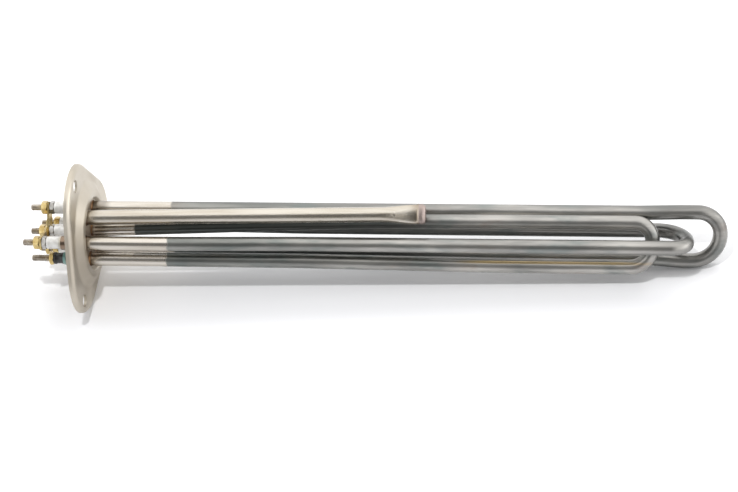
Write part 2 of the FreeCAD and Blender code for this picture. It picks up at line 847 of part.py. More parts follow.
def draw_ellipse(sketch, half_long, half_short):
    """An ellipse about the sketch's origin, its long axis turned to the pocket's flat side."""
    long_end = Vector(*around(half_long.value, POCKET_FLAT_TURN), 0)
    short_end = Vector(*around(half_short.value, POCKET_FLAT_TURN + 90.0), 0)
    index = sketch.addGeometry(Part.Ellipse(long_end, short_end, Vector(0, 0, 0)), False)
    sketch.exposeInternalGeometry(index)
    sketch.addConstraint(Sketcher.Constraint("Coincident", index, 3, -1, 1))
    long_axis, short_axis = index + 1, index + 2
    for axis, half in ((long_axis, half_long), (short_axis, half_short)):
        rule = sketch.addConstraint(Sketcher.Constraint("Distance", axis, 1, axis, 2, 2 * half.value))
        sketch.setExpression(f"Constraints[{rule}]", f"2 * {half.formula}")
    turn = sketch.addConstraint(
        Sketcher.Constraint("Angle", -1, 1, long_axis, 1, math.radians(POCKET_FLAT_TURN)))
    if sketch.solve() != 0:
        sketch.delConstraint(turn)


# Assembly


def add_hairpins():
    long, middle = size("long_cold_length").value, size("middle_cold_length").value
    short_upper = size("short_upper_cold_length").value
    short_lower = size("short_lower_cold_length").value
    short_start = named_place("short_upper_start")
    add_hairpin("long", long_path(), long, long, ring_place(1), ring_place(5))
    add_hairpin("middle", middle_path(), middle, middle, ring_place(3), ring_place(0))
    add_hairpin("short", short_path(), short_upper, short_lower, short_start, ring_place(4))


def add_terminals():
    end = size("stud_end")
    places = {
        "long_upper": terminal_placement(ring_place(1)),
        "long_lower": terminal_placement(ring_place(5)),
        "middle_near": terminal_placement(ring_place(3)),
        "middle_far": terminal_placement(ring_place(0)),
        "short_upper": leaning_placement(),
        "short_lower": terminal_placement(ring_place(4)),
    }
    long, middle = size("long_cold_length"), size("middle_cold_length")
    inner = {"long_upper": long, "long_lower": long, "middle_near": middle, "middle_far": middle,
             "short_upper": size("short_upper_cold_length"),
             "short_lower": size("short_lower_cold_length")}
    ends = {name: end for name in places}
    ends["middle_far"] = ends["long_lower"] = size("far_stud_end")
    ends["short_lower"] = size("bare_stud_end")
    for name, placement in places.items():
        add_terminal_pin(name + "_terminal_pin", placement, inner[name], ends[name])
    bushed = [name for name in places if name != "short_lower"]
    for name in bushed:
        add_bush(name + "_bush", places[name])
    add_group("end_seals", [seal_disc(name + "_seal", places[name]) for name in bushed])
    add_sealant(places["short_lower"])
    add_insulator(places["short_lower"])
    add_star_point(places)
    add_phase_nuts(places)


def add_star_point(places):
    """The stop nuts, the two links and the clamp nuts that join one end of each hairpin."""
    star = ("long_upper", "short_upper", "middle_near")
    bush_end = stack_start() - size("stop_nut_height")
    stops = [placed_nut(name + "_stop_nut", places[name], bush_end,
                        size("stop_nut_height") - size("link_play")) for name in star]
    add_group("star_stop_nuts", stops)
    centre = star_centre()
    add_link("star_link_straight", centre, ring_place(1), straight_link_corners)
    add_link("star_link_cranked", centre, ring_place(3), cranked_link_corners)
    layers = {"long_upper": 1, "short_upper": 2, "middle_near": 1}
    clamps = []
    for name in star:
        start = stack_start() + size("link_thickness") * layers[name] + size("lean_play")
        clamps.append(placed_nut(name + "_clamp_nut", places[name], start, size("clamp_nut_height")))
    add_group("star_clamp_nuts", clamps)


def star_centre():
    """Where the leaning stud of the short hairpin passes the links."""
    foot, along = short_upper_line()
    there = foot - along * (stack_start() + size("link_thickness")).value
    return (there.y, there.z)


def add_phase_nuts(places):
    """The brass nuts on the three studs that take the supply leads."""
    bush_end = stack_start() - size("stop_nut_height")
    nuts = []
    for name in ("middle_far", "long_lower"):
        nuts.append(placed_nut(name + "_inner_nut", places[name], bush_end, size("clamp_nut_height")))
        start = bush_end + size("clamp_nut_height") + size("outer_nut_gap")
        nuts.append(placed_nut(name + "_outer_nut", places[name], start, size("thin_nut_height")))
    start = size("tube_tail") + size("sealant_thickness") + size("insulator_length")
    nuts.append(placed_nut("short_lower_nut", places["short_lower"], start, size("thin_nut_height")))
    add_group("phase_terminal_nuts", nuts)


def check_document():
    doc.recompute()
    for item in doc.Objects:
        if "Invalid" in item.State or "Error" in item.State:
            raise RuntimeError(f"{item.Name} failed: {item.State}")
    for piece in pieces:
        shape = piece.Shape
        if shape.isNull() or not shape.isValid() or not shape.Solids:
            raise RuntimeError(f"{piece.Label} has no valid solid")


def export_pieces():
    os.makedirs("parts", exist_ok=True)
    for piece in pieces:
        piece.Shape.exportStep(os.path.join("parts", piece.Label + ".step"))
        box = piece.Shape.BoundBox
        print(f"{piece.Label}: {len(piece.Shape.Solids)} solids, volume {piece.Shape.Volume:.1f}, "
              f"X {box.XMin:.2f} to {box.XMax:.2f}")


fill_sheet()
add_flange()
add_pocket()
add_hairpins()
add_terminals()
add_braze_rings()
check_document()
export_pieces()
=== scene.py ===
import math

import bpy
from mathutils import Matrix, Vector


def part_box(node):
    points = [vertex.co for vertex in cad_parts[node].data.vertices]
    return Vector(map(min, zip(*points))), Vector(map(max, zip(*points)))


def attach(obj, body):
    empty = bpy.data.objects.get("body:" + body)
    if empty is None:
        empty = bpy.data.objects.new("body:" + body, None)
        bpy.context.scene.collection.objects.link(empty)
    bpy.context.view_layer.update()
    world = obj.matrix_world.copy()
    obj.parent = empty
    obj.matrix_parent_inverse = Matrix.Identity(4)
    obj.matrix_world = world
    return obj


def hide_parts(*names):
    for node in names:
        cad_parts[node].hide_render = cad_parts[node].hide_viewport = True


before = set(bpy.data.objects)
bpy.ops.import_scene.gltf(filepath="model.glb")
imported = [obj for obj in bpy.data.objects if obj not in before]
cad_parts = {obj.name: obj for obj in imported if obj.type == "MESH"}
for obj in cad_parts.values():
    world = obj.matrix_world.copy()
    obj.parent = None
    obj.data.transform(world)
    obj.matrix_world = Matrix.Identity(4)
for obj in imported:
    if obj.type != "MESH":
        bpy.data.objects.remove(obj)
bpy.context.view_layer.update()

MM = 0.001


def in_mm(*values):
    return tuple(value * MM for value in values)


# Camera, from matching the tubes' straight lines and their known diameter in the photograph.
CAMERA_PLACE = Vector((368.7, -876.0, 1003.0)) * MM
CAMERA_AIM = Vector((169.8, -8.5, 0.9)) * MM
CAMERA_ROLL = math.radians(-9.08)
CAMERA_LENS = 112.2
SENSOR_WIDTH = 36.0
CAMERA_SIGHT = 20.0

# The floor touches two lobes of the flange and the tip of the longest hairpin, so it is tilted a little.
LOBE_FOOT = Vector((-2.0, 0.0, -37.5)) * MM
TIP_FOOT_X = 362.0 * MM
FLOOR_SIZE = 6.0
FLOOR_SHADE_START, FLOOR_SHADE_END = in_mm(-240.0, 80.0)

# The room that the metal shows. Its dark side, which the tubes show as a dark line, lies towards the
# camera and a little lower. A pair says where a change starts and ends, as parts of a unit direction.
DARK_SIDE = (0.0, -0.8, 0.6)
DARK_SIDE_EDGE = (0.75, 0.94)
DARK_SIDE_DEPTH = 0.88
DARK_SIDE_SHIFT = 0.12
DARK_SIDE_HALF_WIDTH = (0.2, 0.5)
LOW_ROOM = 0.72
LOW_ROOM_HEIGHT = 0.6
BRIGHT_END = 1.9
BRIGHT_END_EDGE = (0.7, 0.97)
METAL_ROOM = 1.8
DULL_ROOM = 0.93

# Two lamps that light the dull surfaces alone, placed from the middle of the part, in metres.
PART_MIDDLE = Vector((0.17, 0.0, 0.0))
KEY_OFFSET = Vector((-0.14, -0.35, 1.45))
KEY_SIZE = (0.08, 0.08)
KEY_POWER = 8.0
WINDOW_OFFSET = Vector((0.1, 0.7, 1.0))
WINDOW_SIZE = (1.4, 0.5)
WINDOW_POWER = 7.0

# Heat tints of the brazing: on the tubes from the flange's face on, and on the flange round the tubes, where
# the brown also stands in as painted shade between the tubes.
FLANGE_FACE = 1.8 * MM
BRAZE_TINT_START, BRAZE_TINT_END = in_mm(0.4, 2.4)
BRAZE_TINT_SHARE = 0.8
BRAZED_RADIUS, CLEAN_RADIUS = in_mm(18.8, 20.8)

# Where the bright cold end of each sheath changes to oxide, and how ragged and how soft the step is.
LONG_COLD_END = 50.0 * MM
MIDDLE_COLD_END = 51.5 * MM
SHORT_COLD_END = 48.4 * MM
SHORT_UPPER_COLD_END = 28.4 * MM
STEP_RAGGEDNESS = 2.2 * MM
STEP_BEFORE, STEP_AFTER = in_mm(0.6, 0.9)

# A hairpin's lower leg lies below the first height and its upper leg above the second. The short sheath's
# upper cold end holds from the third height up.
LOWER_LEG_TOP, UPPER_LEG_FOOT = in_mm(-5.0, -1.0)
UPPER_STEP_FOOT = -3.5 * MM

# How the oxide changes along the tubes: dark past the step, with painted shade on the legs inside the
# bundle, and darker at the tips.
DARK_OXIDE_START, DARK_OXIDE_END = in_mm(12.0, 180.0)
PAINTED_SHADE_FADE = 20.0 * MM
PAINTED_SHADE_SHARE = 0.78
TIP_START, TIP_FULL = in_mm(316.0, 345.0)
TIP_SHARE = 0.42

# The dark start of the long sheath's upper leg, at the flange.
DARKER_START_END, DARKER_START_FADE = in_mm(9.0, 14.5)
DARKER_START_FOOT, DARKER_START_TOP = in_mm(-3.0, 0.0)
DARKER_START_SHARE = 0.5

# A painted gold highlight, a thin line on the short sheath's lower leg: start, full, fade and end, along the
# tube and across it. Across is measured towards the side that the line faces, given as shares of Y and Z.
HIGHLIGHT_ALONG = in_mm(215.0, 240.0, 310.0, 340.0)
HIGHLIGHT_ACROSS = in_mm(-15.4, -14.7, -13.9, -13.2)
HIGHLIGHT_FACING_Y, HIGHLIGHT_FACING_Z = 0.75, 0.66
HIGHLIGHT_TOP, HIGHLIGHT_GONE = in_mm(-6.0, -4.0)
HIGHLIGHT_SHARE = 0.7

# The heat tint before the pocket's weld and the weld's own colour, along X.
WELD_START = 199.8 * MM
WELD_EDGE = 0.4 * MM
WELD_HEAT_REACH = 7.0 * MM
WELD_HEAT_SHARE = 0.6
WELD_SHARE = 0.9

# The pocket, in mm from its open end. Its pressed end eases from round to flat, and sits a little off the
# solid's in the photograph. Each row of the weld is a distance past the flat, a half width and a half
# thickness. Each of its waves is a share of its size, a number of waves round it and a turn per mm along it.
POCKET_RADIUS = 4.5
POCKET_BORE_RADIUS = 3.7
POCKET_BORE_LENGTH = 195.0
POCKET_MOUTH_ROUND = 0.2
POCKET_PRESS_START = 186.0
POCKET_FLAT_END = 207.4
POCKET_PRESS_STEPS = 22
POCKET_FLAT_HALF_WIDTH = 5.7
POCKET_FLAT_HALF_THICKNESS = 2.0
POCKET_WELD = [(0.2, 5.8, 2.3), (0.9, 5.95, 2.65), (1.9, 5.85, 2.6), (3.0, 5.9, 2.7), (4.1, 5.65, 2.4),
               (4.8, 5.1, 1.9), (5.2, 4.0, 1.1)]
POCKET_WELD_WAVES = [(0.02, 3.0, 1.0), (0.015, 7.0, 3.0)]
POCKET_FLAT_TURN = math.radians(140.0)
POCKET_END_SHIFT = Vector((0.0, -0.9, -0.8)) * MM
POCKET_SIDES = 48

# The studs' thread, which the solids leave as a plain cylinder.
STUD_RADIUS = 2.0 * MM
STUD_CHAMFER = 0.25 * MM
STUD_SIDES = 24
THREAD_ROOT = 1.64 * MM
THREAD_PITCH = 0.7 * MM
THREAD_START = -13.6 * MM
ROWS_PER_PITCH = 6

# The turned insulator's outline, in mm: distance from its outer end, and radius.
INSULATOR_OUTLINE = [(0.0, 3.2), (0.25, 3.6), (1.5, 3.65), (1.75, 3.3), (2.2, 3.2), (4.9, 3.25),
                     (5.4, 3.5), (6.0, 3.5)]
INSULATOR_SIDES = 32

# How close to its end a pin's vertex counts as the end's, and the angle from which an edge is sharp.
PIN_END_REACH = 0.4 * MM
SHARP_EDGE = math.radians(40.0)


# Colours


def rgb(red, green, blue):
    """An sRGB colour, 0 to 255, as the linear colour that a shader takes."""
    linear = []
    for value in (red, green, blue):
        share = value / 255
        linear.append(share / 12.92 if share <= 0.04045 else ((share + 0.055) / 1.055) ** 2.4)
    return (*linear, 1.0)


PRESSED_LIGHT = rgb(190, 183, 170)
PRESSED_SHADE = rgb(172, 163, 149)
# Braze tint, and painted shade on the flange between the tubes.
FLANGE_BRAZE_AND_SHADE = rgb(112, 88, 66)
TUBE_BRAZE_TINT = rgb(108, 82, 58)
COLD_LIGHT = rgb(197, 191, 182)
COLD_SHADE = rgb(176, 168, 156)
# A darker start of the upper leg, next to the flange.
COLD_DARKER = rgb(96, 86, 76)
OXIDE_SHADE = rgb(132, 131, 128)
OXIDE_LIGHT = rgb(178, 175, 170)
OXIDE_COOL = rgb(118, 126, 124)
OXIDE_WARM = rgb(158, 144, 134)
# Dark oxide past the step, with painted shade on the legs that lie in shade.
OXIDE_DARK_AND_SHADE = rgb(78, 86, 82)
# Painted shade on the legs inside the bundle, where other tubes shade them.
OXIDE_PAINTED_SHADE = rgb(76, 78, 76)
OXIDE_TIP = rgb(92, 92, 90)
# A painted gold highlight.
PAINTED_GOLD_HIGHLIGHT = rgb(206, 178, 120)
POCKET_LIGHT = rgb(194, 188, 177)
WELD_HEAT = rgb(132, 116, 98)
WELD_BEAD = rgb(158, 144, 139)
GLAZE_LIGHT = rgb(232, 231, 228)
GLAZE_SHADE = rgb(202, 200, 195)
# Painted shade on the floor: darker and bluer at the front than at the back.
FLOOR_PAINTED_SHADE = rgb(232, 233, 238)
FLOOR_BACK = rgb(252, 252, 253)
ROOM_WHITE = (1.0, 1.0, 1.0, 1.0)


# Materials


class Nodes:
    """A node tree, with short calls for the nodes used here."""

    def __init__(self, tree):
        self.tree = tree

    def add(self, kind, **settings):
        node = self.tree.nodes.new(kind)
        for key, value in settings.items():
            setattr(node, key, value)
        return node

    def link(self, source, target):
        self.tree.links.new(source, target)

    def feed(self, target, value):
        if isinstance(value, bpy.types.NodeSocket):
            self.link(value, target)
        else:
            target.default_value = value

    def axis(self, name, place):
        split = self.add("ShaderNodeSeparateXYZ")
        self.link(place, split.inputs[0])
        return split.outputs[name]

    def ramp(self, value, start, end):
        """A smooth ramp from number to number: start and end are (position, number)."""
        node = self.add("ShaderNodeMapRange", interpolation_type="SMOOTHSTEP")
        (low, first), (high, last) = start, end
        self.feed(node.inputs["Value"], value)
        node.inputs["From Min"].default_value = low
        node.inputs["From Max"].default_value = high
        node.inputs["To Min"].default_value = first
        node.inputs["To Max"].default_value = last
        return node.outputs[0]

    def band(self, value, start, full, fade, end):
        """One between full and fade, nothing before start and after end."""
        rise = self.ramp(value, (start, 0.0), (full, 1.0))
        return self.times(rise, self.ramp(value, (fade, 1.0), (end, 0.0)))

    def math(self, operation, first, second=0.0):
        node = self.add("ShaderNodeMath", operation=operation)
        self.feed(node.inputs[0], first)
        self.feed(node.inputs[1], second)
        return node.outputs[0]

    def plus(self, first, second):
        return self.math("ADD", first, second)

    def times(self, first, second):
        return self.math("MULTIPLY", first, second)


class Surface(Nodes):
    """A material with one shader, and textures in the object's own space."""

    def __init__(self, name):
        self.material = bpy.data.materials.new(name)
        self.material.use_nodes = True
        super().__init__(self.material.node_tree)
        self.tree.nodes.clear()
        output = self.add("ShaderNodeOutputMaterial")
        self.shader = self.add("ShaderNodeBsdfPrincipled")
        self.link(self.shader.outputs[0], output.inputs["Surface"])
        self.place = self.add("ShaderNodeTexCoord").outputs["Object"]

    def noise(self, scale, detail=3.0, roughness=0.5, stretch=None):
        node = self.add("ShaderNodeTexNoise")
        place = self.place
        if stretch:
            mapping = self.add("ShaderNodeMapping")
            self.link(self.place, mapping.inputs["Vector"])
            mapping.inputs["Scale"].default_value = stretch
            place = mapping.outputs[0]
        self.link(place, node.inputs["Vector"])
        node.inputs["Scale"].default_value = scale
        node.inputs["Detail"].default_value = detail
        node.inputs["Roughness"].default_value = roughness
        return node.outputs["Fac"]

    def drawn_grain(self):
        """Fine lines along a tube, from drawing it."""
        return self.noise(1.0, stretch=(300.0, 2400.0, 2400.0))

    def mix(self, share, first, second):
        node = self.add("ShaderNodeMix", data_type="RGBA")
        self.feed(node.inputs["Factor"], share)
        self.feed(node.inputs["A"], first)
        self.feed(node.inputs["B"], second)
        return node.outputs["Result"]

    def shades(self, value, low, high, first, second):
        """The first colour where the value is below low, the second above high, a soft change between."""
        return self.mix(self.ramp(value, (low, 0.0), (high, 1.0)), first, second)

    def bump(self, height, distance, strength):
        node = self.add("ShaderNodeBump")
        self.link(height, node.inputs["Height"])
        node.inputs["Distance"].default_value = distance
        node.inputs["Strength"].default_value = strength
        self.link(node.outputs[0], self.shader.inputs["Normal"])

    def set(self, **values):
        for key, value in values.items():
            self.feed(self.shader.inputs[key.replace("_", " ")], value)


def flange_material():
    m = Surface("satin_pressed_steel")
    across, up = m.axis("Y", m.place), m.axis("Z", m.place)
    steel = m.shades(m.noise(18.0, 4.0), 0.38, 0.66, PRESSED_LIGHT, PRESSED_SHADE)
    from_axis = m.math("SQRT", m.plus(m.times(across, across), m.times(up, up)))
    # The brown round the tubes: braze tint, and also painted shade on the boss between the tubes.
    braze_and_shade_reach = m.ramp(from_axis, (BRAZED_RADIUS, 1.0), (CLEAN_RADIUS, 0.0))
    tint = m.times(braze_and_shade_reach, m.ramp(m.noise(160.0), (0.3, 0.25), (0.7, 0.7)))
    m.set(Base_Color=m.mix(tint, steel, FLANGE_BRAZE_AND_SHADE), Metallic=1.0,
          Roughness=m.ramp(m.noise(60.0, 5.0), (0.3, 0.36), (0.7, 0.48)))
    m.bump(m.plus(m.times(m.noise(900.0), 0.12), m.noise(55.0, 2.0)), 0.2 * MM, 0.5)
    return m.material


def brazed(m, along, steel):
    """The steel of a tube with the tint of its brazing next to the flange."""
    start, end = FLANGE_FACE + BRAZE_TINT_START, FLANGE_FACE + BRAZE_TINT_END
    return m.mix(m.ramp(along, (start, BRAZE_TINT_SHARE), (end, 0.0)), steel, TUBE_BRAZE_TINT)


def past_step(m, edge, step):
    return m.ramp(edge, (step - STEP_BEFORE, 0.0), (step + STEP_AFTER, 1.0))


def oxide_colour(m, streaks, cold_end, tint_scale, dark_oxide_and_shade_legs, painted_shade_ends, painted_highlight):
    """The grey oxide of a sheath's heated length, cool and warm in patches, with painted shade inside the
    bundle and, where asked, a painted gold highlight.
    """
    along, height = m.axis("X", m.place), m.axis("Z", m.place)

    def by_leg(lower, upper):
        return m.ramp(height, (LOWER_LEG_TOP, lower), (UPPER_LEG_FOOT, upper))

    patches = m.noise(tint_scale, 3.0, 0.55, (22.0, 60.0, 60.0))
    oxide = m.shades(streaks, 0.35, 0.7, OXIDE_SHADE, OXIDE_LIGHT)
    oxide = m.mix(m.ramp(patches, (0.5, 0.0), (0.72, 0.7)), oxide, OXIDE_COOL)
    oxide = m.mix(m.ramp(patches, (0.28, 0.5), (0.42, 0.0)), oxide, OXIDE_WARM)
    # Dark oxide just past the step, with painted shade added on the legs in the bundle's shade.
    near_step = m.ramp(along, (cold_end + DARK_OXIDE_START, 1.0), (cold_end + DARK_OXIDE_END, 0.0))
    oxide = m.mix(m.times(near_step, by_leg(*dark_oxide_and_shade_legs)), oxide, OXIDE_DARK_AND_SHADE)
    # Painted shade: a darker grey on the legs inside the bundle, as far along as each leg's reach.
    past_painted_shade = m.math("SUBTRACT", along, by_leg(*painted_shade_ends))
    oxide = m.mix(m.ramp(past_painted_shade, (-PAINTED_SHADE_FADE, PAINTED_SHADE_SHARE), (PAINTED_SHADE_FADE, 0.0)), oxide, OXIDE_PAINTED_SHADE)
    oxide = m.mix(m.ramp(along, (TIP_START, 0.0), (TIP_FULL, TIP_SHARE)), oxide, OXIDE_TIP)
    # A painted highlight: a thin gold line along one side of the short sheath's lower leg.
    if painted_highlight:
        across = m.plus(m.times(m.axis("Y", m.place), HIGHLIGHT_FACING_Y), m.times(height, HIGHLIGHT_FACING_Z))
        low = m.ramp(height, (HIGHLIGHT_TOP, HIGHLIGHT_SHARE), (HIGHLIGHT_GONE, 0.0))
        line = m.times(m.band(along, *HIGHLIGHT_ALONG), m.band(across, *HIGHLIGHT_ACROSS))
        oxide = m.mix(m.times(line, low), oxide, PAINTED_GOLD_HIGHLIGHT)
    return oxide


def cold_colour(m, streaks, darker_start):
    """The bright steel of a sheath's cold end, darker at the upper leg's start next to the flange where
    asked.
    """
    along, height = m.axis("X", m.place), m.axis("Z", m.place)
    steel = brazed(m, along, m.shades(streaks, 0.4, 0.75, COLD_LIGHT, COLD_SHADE))
    # Darker at the start of the upper leg, next to the flange.
    if darker_start:
        upper = m.ramp(height, (DARKER_START_FOOT, 0.0), (DARKER_START_TOP, 1.0))
        start = m.ramp(along, (DARKER_START_END, DARKER_START_SHARE), (DARKER_START_FADE, 0.0))
        steel = m.mix(m.times(start, upper), steel, COLD_DARKER)
    return steel


def sheath_material(name, cold_end, tint_scale, dark_oxide_and_shade_legs, painted_shade_ends,
                    upper_cold_end=None, darker_start=False, painted_highlight=False):
    """Bright at the cold end, with a crisp step to the grey oxide of the heated length.

    The first pair says how dark the oxide is just past the step, on the lower and on the upper leg; the
    extra dark on legs in the bundle's shade is painted shade.
    The second pair says how far along each of them the painted shade of the bundle's inside reaches.
    """
    m = Surface(name)
    ragged = m.times(m.math("SUBTRACT", m.noise(350.0, 2.0), 0.5), STEP_RAGGEDNESS)
    edge = m.plus(m.axis("X", m.place), ragged)
    hot = past_step(m, edge, cold_end)
    if upper_cold_end:
        upper = m.ramp(m.axis("Z", m.place), (LOWER_LEG_TOP, 0.0), (UPPER_STEP_FOOT, 1.0))
        hot = m.math("MAXIMUM", hot, m.times(upper, past_step(m, edge, upper_cold_end)))
    streaks = m.noise(1.0, 4.0, 0.6, (14.0, 120.0, 120.0))
    oxide = oxide_colour(m, streaks, cold_end, tint_scale, dark_oxide_and_shade_legs, painted_shade_ends, painted_highlight)
    m.set(Base_Color=m.mix(hot, cold_colour(m, streaks, darker_start), oxide), Metallic=1.0,
          Roughness=m.ramp(hot, (0.0, 0.22), (1.0, 0.33)))
    m.bump(m.plus(m.drawn_grain(), m.times(m.noise(90.0, 2.0), 0.6)), 0.05 * MM, 0.5)
    return m.material


def pocket_material():
    m = Surface("pocket_tube_steel")
    along = m.axis("X", m.place)
    streaks = m.noise(1.0, stretch=(16.0, 150.0, 150.0))
    steel = m.shades(streaks, 0.35, 0.7, POCKET_LIGHT, PRESSED_SHADE)
    near_weld = m.ramp(along, (WELD_START - WELD_HEAT_REACH, 0.0), (WELD_START, WELD_HEAT_SHARE))
    steel = m.mix(near_weld, steel, WELD_HEAT)
    bead = m.ramp(along, (WELD_START - WELD_EDGE, 0.0), (WELD_START + WELD_EDGE, 1.0))
    steel = m.mix(m.times(bead, WELD_SHARE), steel, WELD_BEAD)
    m.set(Base_Color=brazed(m, along, steel), Metallic=1.0,
          Roughness=m.ramp(bead, (0.0, 0.24), (1.0, 0.38)))
    lumps = m.times(m.times(m.noise(700.0), bead), 6.0)
    m.bump(m.plus(m.drawn_grain(), lumps), 0.06 * MM, 0.8)
    return m.material


def metal_material(name, light, shade, roughness):
    """A small machined or plated piece: two shades in soft patches, and fine grain."""
    m = Surface(name)
    m.set(Base_Color=m.shades(m.noise(260.0), 0.35, 0.68, light, shade), Metallic=1.0,
          Roughness=m.ramp(m.noise(500.0, 2.0), (0.3, roughness), (0.7, roughness + 0.12)))
    m.bump(m.noise(700.0), 0.04 * MM, 0.6)
    return m.material


def ceramic_material():
    m = Surface("white_glazed_ceramic")
    m.set(Base_Color=m.shades(m.noise(300.0), 0.3, 0.7, GLAZE_LIGHT, GLAZE_SHADE), Roughness=0.16,
          Coat_Weight=0.6, Coat_Roughness=0.08)
    m.bump(m.noise(400.0, 2.0), 0.05 * MM, 0.5)
    return m.material


def dull_material(name, light, shade, roughness):
    """A piece of rubber, powder or plastic: two shades in soft patches, and fine grain."""
    m = Surface(name)
    m.set(Base_Color=m.shades(m.noise(300.0), 0.35, 0.68, light, shade), Metallic=0.0, Roughness=roughness)
    m.bump(m.noise(800.0), 0.05 * MM, 0.6)
    return m.material


def floor_material():
    """White paper with painted shade: a touch darker and bluer towards the front edge, where less light
    falls.
    """
    m = Surface("white_paper")
    paper = m.shades(m.axis("Y", m.place), FLOOR_SHADE_START, FLOOR_SHADE_END, FLOOR_PAINTED_SHADE, FLOOR_BACK)
    m.set(Base_Color=paper, Roughness=0.95, Specular_IOR_Level=0.0)
    return m.material


# Pieces


def dress(node, material):
    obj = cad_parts[node]
    obj.data.materials.clear()
    obj.data.materials.append(material)


def visual_piece(name, points, faces, material, node):
    """A finer piece that stands for one of the solids and rides on its body."""
    mesh = bpy.data.meshes.new(name)
    mesh.from_pydata(points, [], faces)
    mesh.materials.append(material)
    mesh.shade_smooth()
    mesh.set_sharp_from_angle(angle=SHARP_EDGE)
    obj = bpy.data.objects.new(name, mesh)
    bpy.context.scene.collection.objects.link(obj)
    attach(obj, "root")
    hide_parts(node)
    return obj


def pin_axis(node):
    """Middle of a round piece's outer end and of its inner end, from the solid itself."""
    places = [vertex.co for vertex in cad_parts[node].data.vertices]
    ends = []
    for reach in (min(p.x for p in places), max(p.x for p in places)):
        near = [p for p in places if abs(p.x - reach) < PIN_END_REACH]
        low = Vector([min(p[i] for p in near) for i in range(3)])
        high = Vector([max(p[i] for p in near) for i in range(3)])
        middle = (low + high) / 2
        ends.append(Vector((reach, middle.y, middle.z)))
    return ends


def lathe(start, end, rows, sides, radius):
    """Points and faces of a round piece on the line from start to end.

    rows are distances from start, in the order of the skin. radius takes the row's number and the turn,
    0 to 1.
    """
    axis = (end - start).normalized()
    across = axis.cross(Vector((0.0, 0.0, 1.0))).normalized()
    up = across.cross(axis)
    points = []
    for row, along in enumerate(rows):
        for side in range(sides):
            turn = side / sides
            spoke = across * math.cos(turn * math.tau) + up * math.sin(turn * math.tau)
            points.append(start + axis * along + spoke * radius(row, turn))
    faces = [tuple(range(sides))]
    for row in range(len(rows) - 1):
        first = row * sides
        for side in range(sides):
            after = (side + 1) % sides
            faces.append((first + side, first + sides + side, first + sides + after, first + after))
    last = (len(rows) - 1) * sides
    faces.append(tuple(range(last + sides - 1, last - 1, -1)))
    return points, faces


def pocket_skin():
    """Rows from the bore's closed end out of its mouth and over the outside to the end of the weld.

    Each row is a distance, a half width and a half thickness, in mm.
    """
    outer = POCKET_RADIUS - POCKET_MOUTH_ROUND
    skin = [(POCKET_BORE_LENGTH, POCKET_BORE_RADIUS, POCKET_BORE_RADIUS),
            (0.0, POCKET_BORE_RADIUS, POCKET_BORE_RADIUS),
            (0.0, outer, outer),
            (POCKET_MOUTH_ROUND, POCKET_RADIUS, POCKET_RADIUS),
            (POCKET_PRESS_START, POCKET_RADIUS, POCKET_RADIUS)]
    for step in range(1, POCKET_PRESS_STEPS):
        share = step / POCKET_PRESS_STEPS
        ease = share * share * (3.0 - 2.0 * share)
        skin.append((POCKET_PRESS_START + (POCKET_FLAT_END - POCKET_PRESS_START) * share,
                     POCKET_RADIUS + (POCKET_FLAT_HALF_WIDTH - POCKET_RADIUS) * ease,
                     POCKET_RADIUS + (POCKET_FLAT_HALF_THICKNESS - POCKET_RADIUS) * ease))
    skin.append((POCKET_FLAT_END, POCKET_FLAT_HALF_WIDTH, POCKET_FLAT_HALF_THICKNESS))
    for past, half_width, half_thickness in POCKET_WELD:
        skin.append((POCKET_FLAT_END + past, half_width, half_thickness))
    return skin


def add_pocket(node, material):
    """The thermostat's pocket: the pressed end eases out of the round tube into an uneven weld bead."""
    start, end = pin_axis(node)
    end = end + POCKET_END_SHIFT
    skin = pocket_skin()
    rows = [along * MM for along, _, _ in skin]

    def radius(row, turn):
        along, wide, thick = skin[row]
        angle = turn * math.tau - POCKET_FLAT_TURN
        size = wide * thick / math.hypot(thick * math.cos(angle), wide * math.sin(angle))
        uneven = 1.0
        if along > POCKET_FLAT_END:
            for share, waves, turn_per_mm in POCKET_WELD_WAVES:
                uneven += share * math.sin(waves * angle + turn_per_mm * along)
        return size * uneven * MM

    points, faces = lathe(start, end, rows, POCKET_SIDES, radius)
    visual_piece("thermostat_pocket_skin", points, faces, material, node)


def add_insulator(node, material):
    """The turned insulator under the short sheath's lower nut, slimmer than its solid, with a rim."""
    low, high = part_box(node)
    middle = (low + high) / 2
    start = Vector((low.x, middle.y, middle.z))
    end = Vector((high.x, middle.y, middle.z))
    rows = [along * MM for along, _ in INSULATOR_OUTLINE]

    def radius(row, turn):
        return INSULATOR_OUTLINE[row][1] * MM

    points, faces = lathe(start, end, rows, INSULATOR_SIDES, radius)
    visual_piece("short_lower_turned_insulator", points, faces, material, node)


def add_threaded_pin(node, material):
    """A stud with a rolled thread and a chamfered end; the plain part goes on into the tube."""
    start, end = pin_axis(node)
    threaded = THREAD_START - start.x
    row_count = int(threaded / THREAD_PITCH * ROWS_PER_PITCH)
    rows = [i * THREAD_PITCH / ROWS_PER_PITCH for i in range(row_count)]
    rows += [threaded, (end - start).length]

    def radius(row, turn):
        along = rows[row]
        if along >= threaded:
            return THREAD_ROOT
        phase = (along / THREAD_PITCH + turn) % 1.0
        ridge = THREAD_ROOT + (STUD_RADIUS - THREAD_ROOT) * (1.0 - abs(2.0 * phase - 1.0))
        return min(ridge, THREAD_ROOT - STUD_CHAMFER + along)

    points, faces = lathe(start, end, rows, STUD_SIDES, radius)
    visual_piece(node.replace("pin", "stud"), points, faces, material, node)


